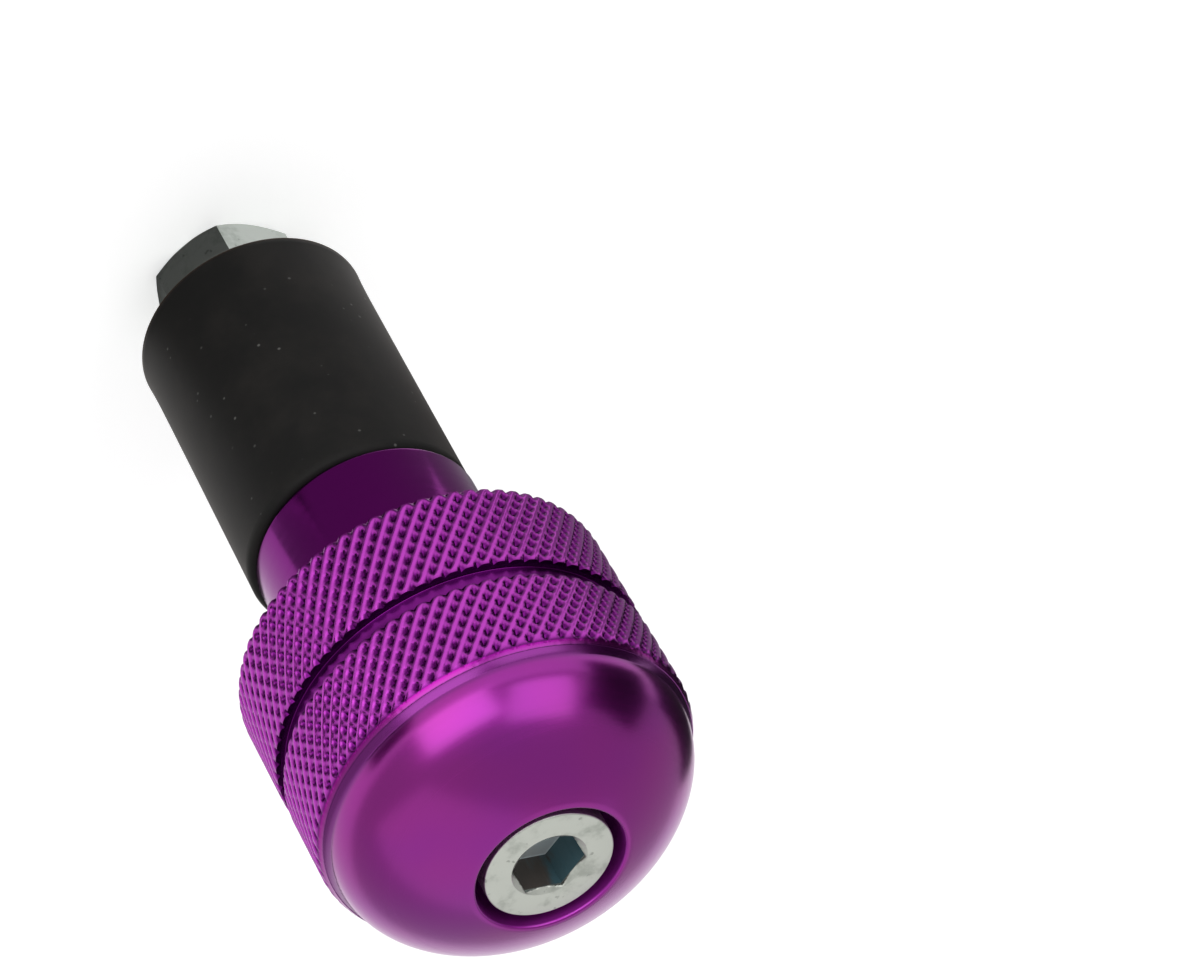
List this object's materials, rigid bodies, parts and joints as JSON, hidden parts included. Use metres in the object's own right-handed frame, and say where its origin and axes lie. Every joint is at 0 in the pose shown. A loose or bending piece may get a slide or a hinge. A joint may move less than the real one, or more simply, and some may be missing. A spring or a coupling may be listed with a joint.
{
  "type": "bar end weight",
  "caption": "Domed metal bar end weight with knurled bands, a plain neck, a rubber expansion bush, a recessed socket head screw and a flange nut.",
  "frame": {"origin": "centre of the nut's end face, which is the foot that the part stands on", "axes": "+Z along the common axis of all the pieces, from the nut to the dome; +X towards a corner of the screw's hexagon socket"},
  "size_m": [0.0296, 0.0296, 0.069],
  "materials": {
    "anodised": "satin purple anodising",
    "rubber": "matt black",
    "zinc": "bright zinc plate"
  },
  "bodies": {
    "weight": {"head_weight": "anodised", "rubber_bush": "rubber"},
    "screw": {"cap_screw": "zinc"},
    "nut": {"flange_nut": "zinc"}
  },
  "joints": [
    {"name": "screw_turn", "type": "hinge", "parent": "weight", "child": "screw", "pos_m": [0, 0, 0.0685], "axis": [0, 0, -1], "range_deg": [0, 720]},
    {"name": "nut_draw", "type": "slide", "parent": "weight", "child": "nut", "axis": [0, 0, 1], "range_m": [0, 0.002], "deforming": ["rubber_bush"]}
  ],
  "couplings": [
    {"joint": "nut_draw", "follows": "screw_turn", "m_per_rad": 0.000159}
  ]
}
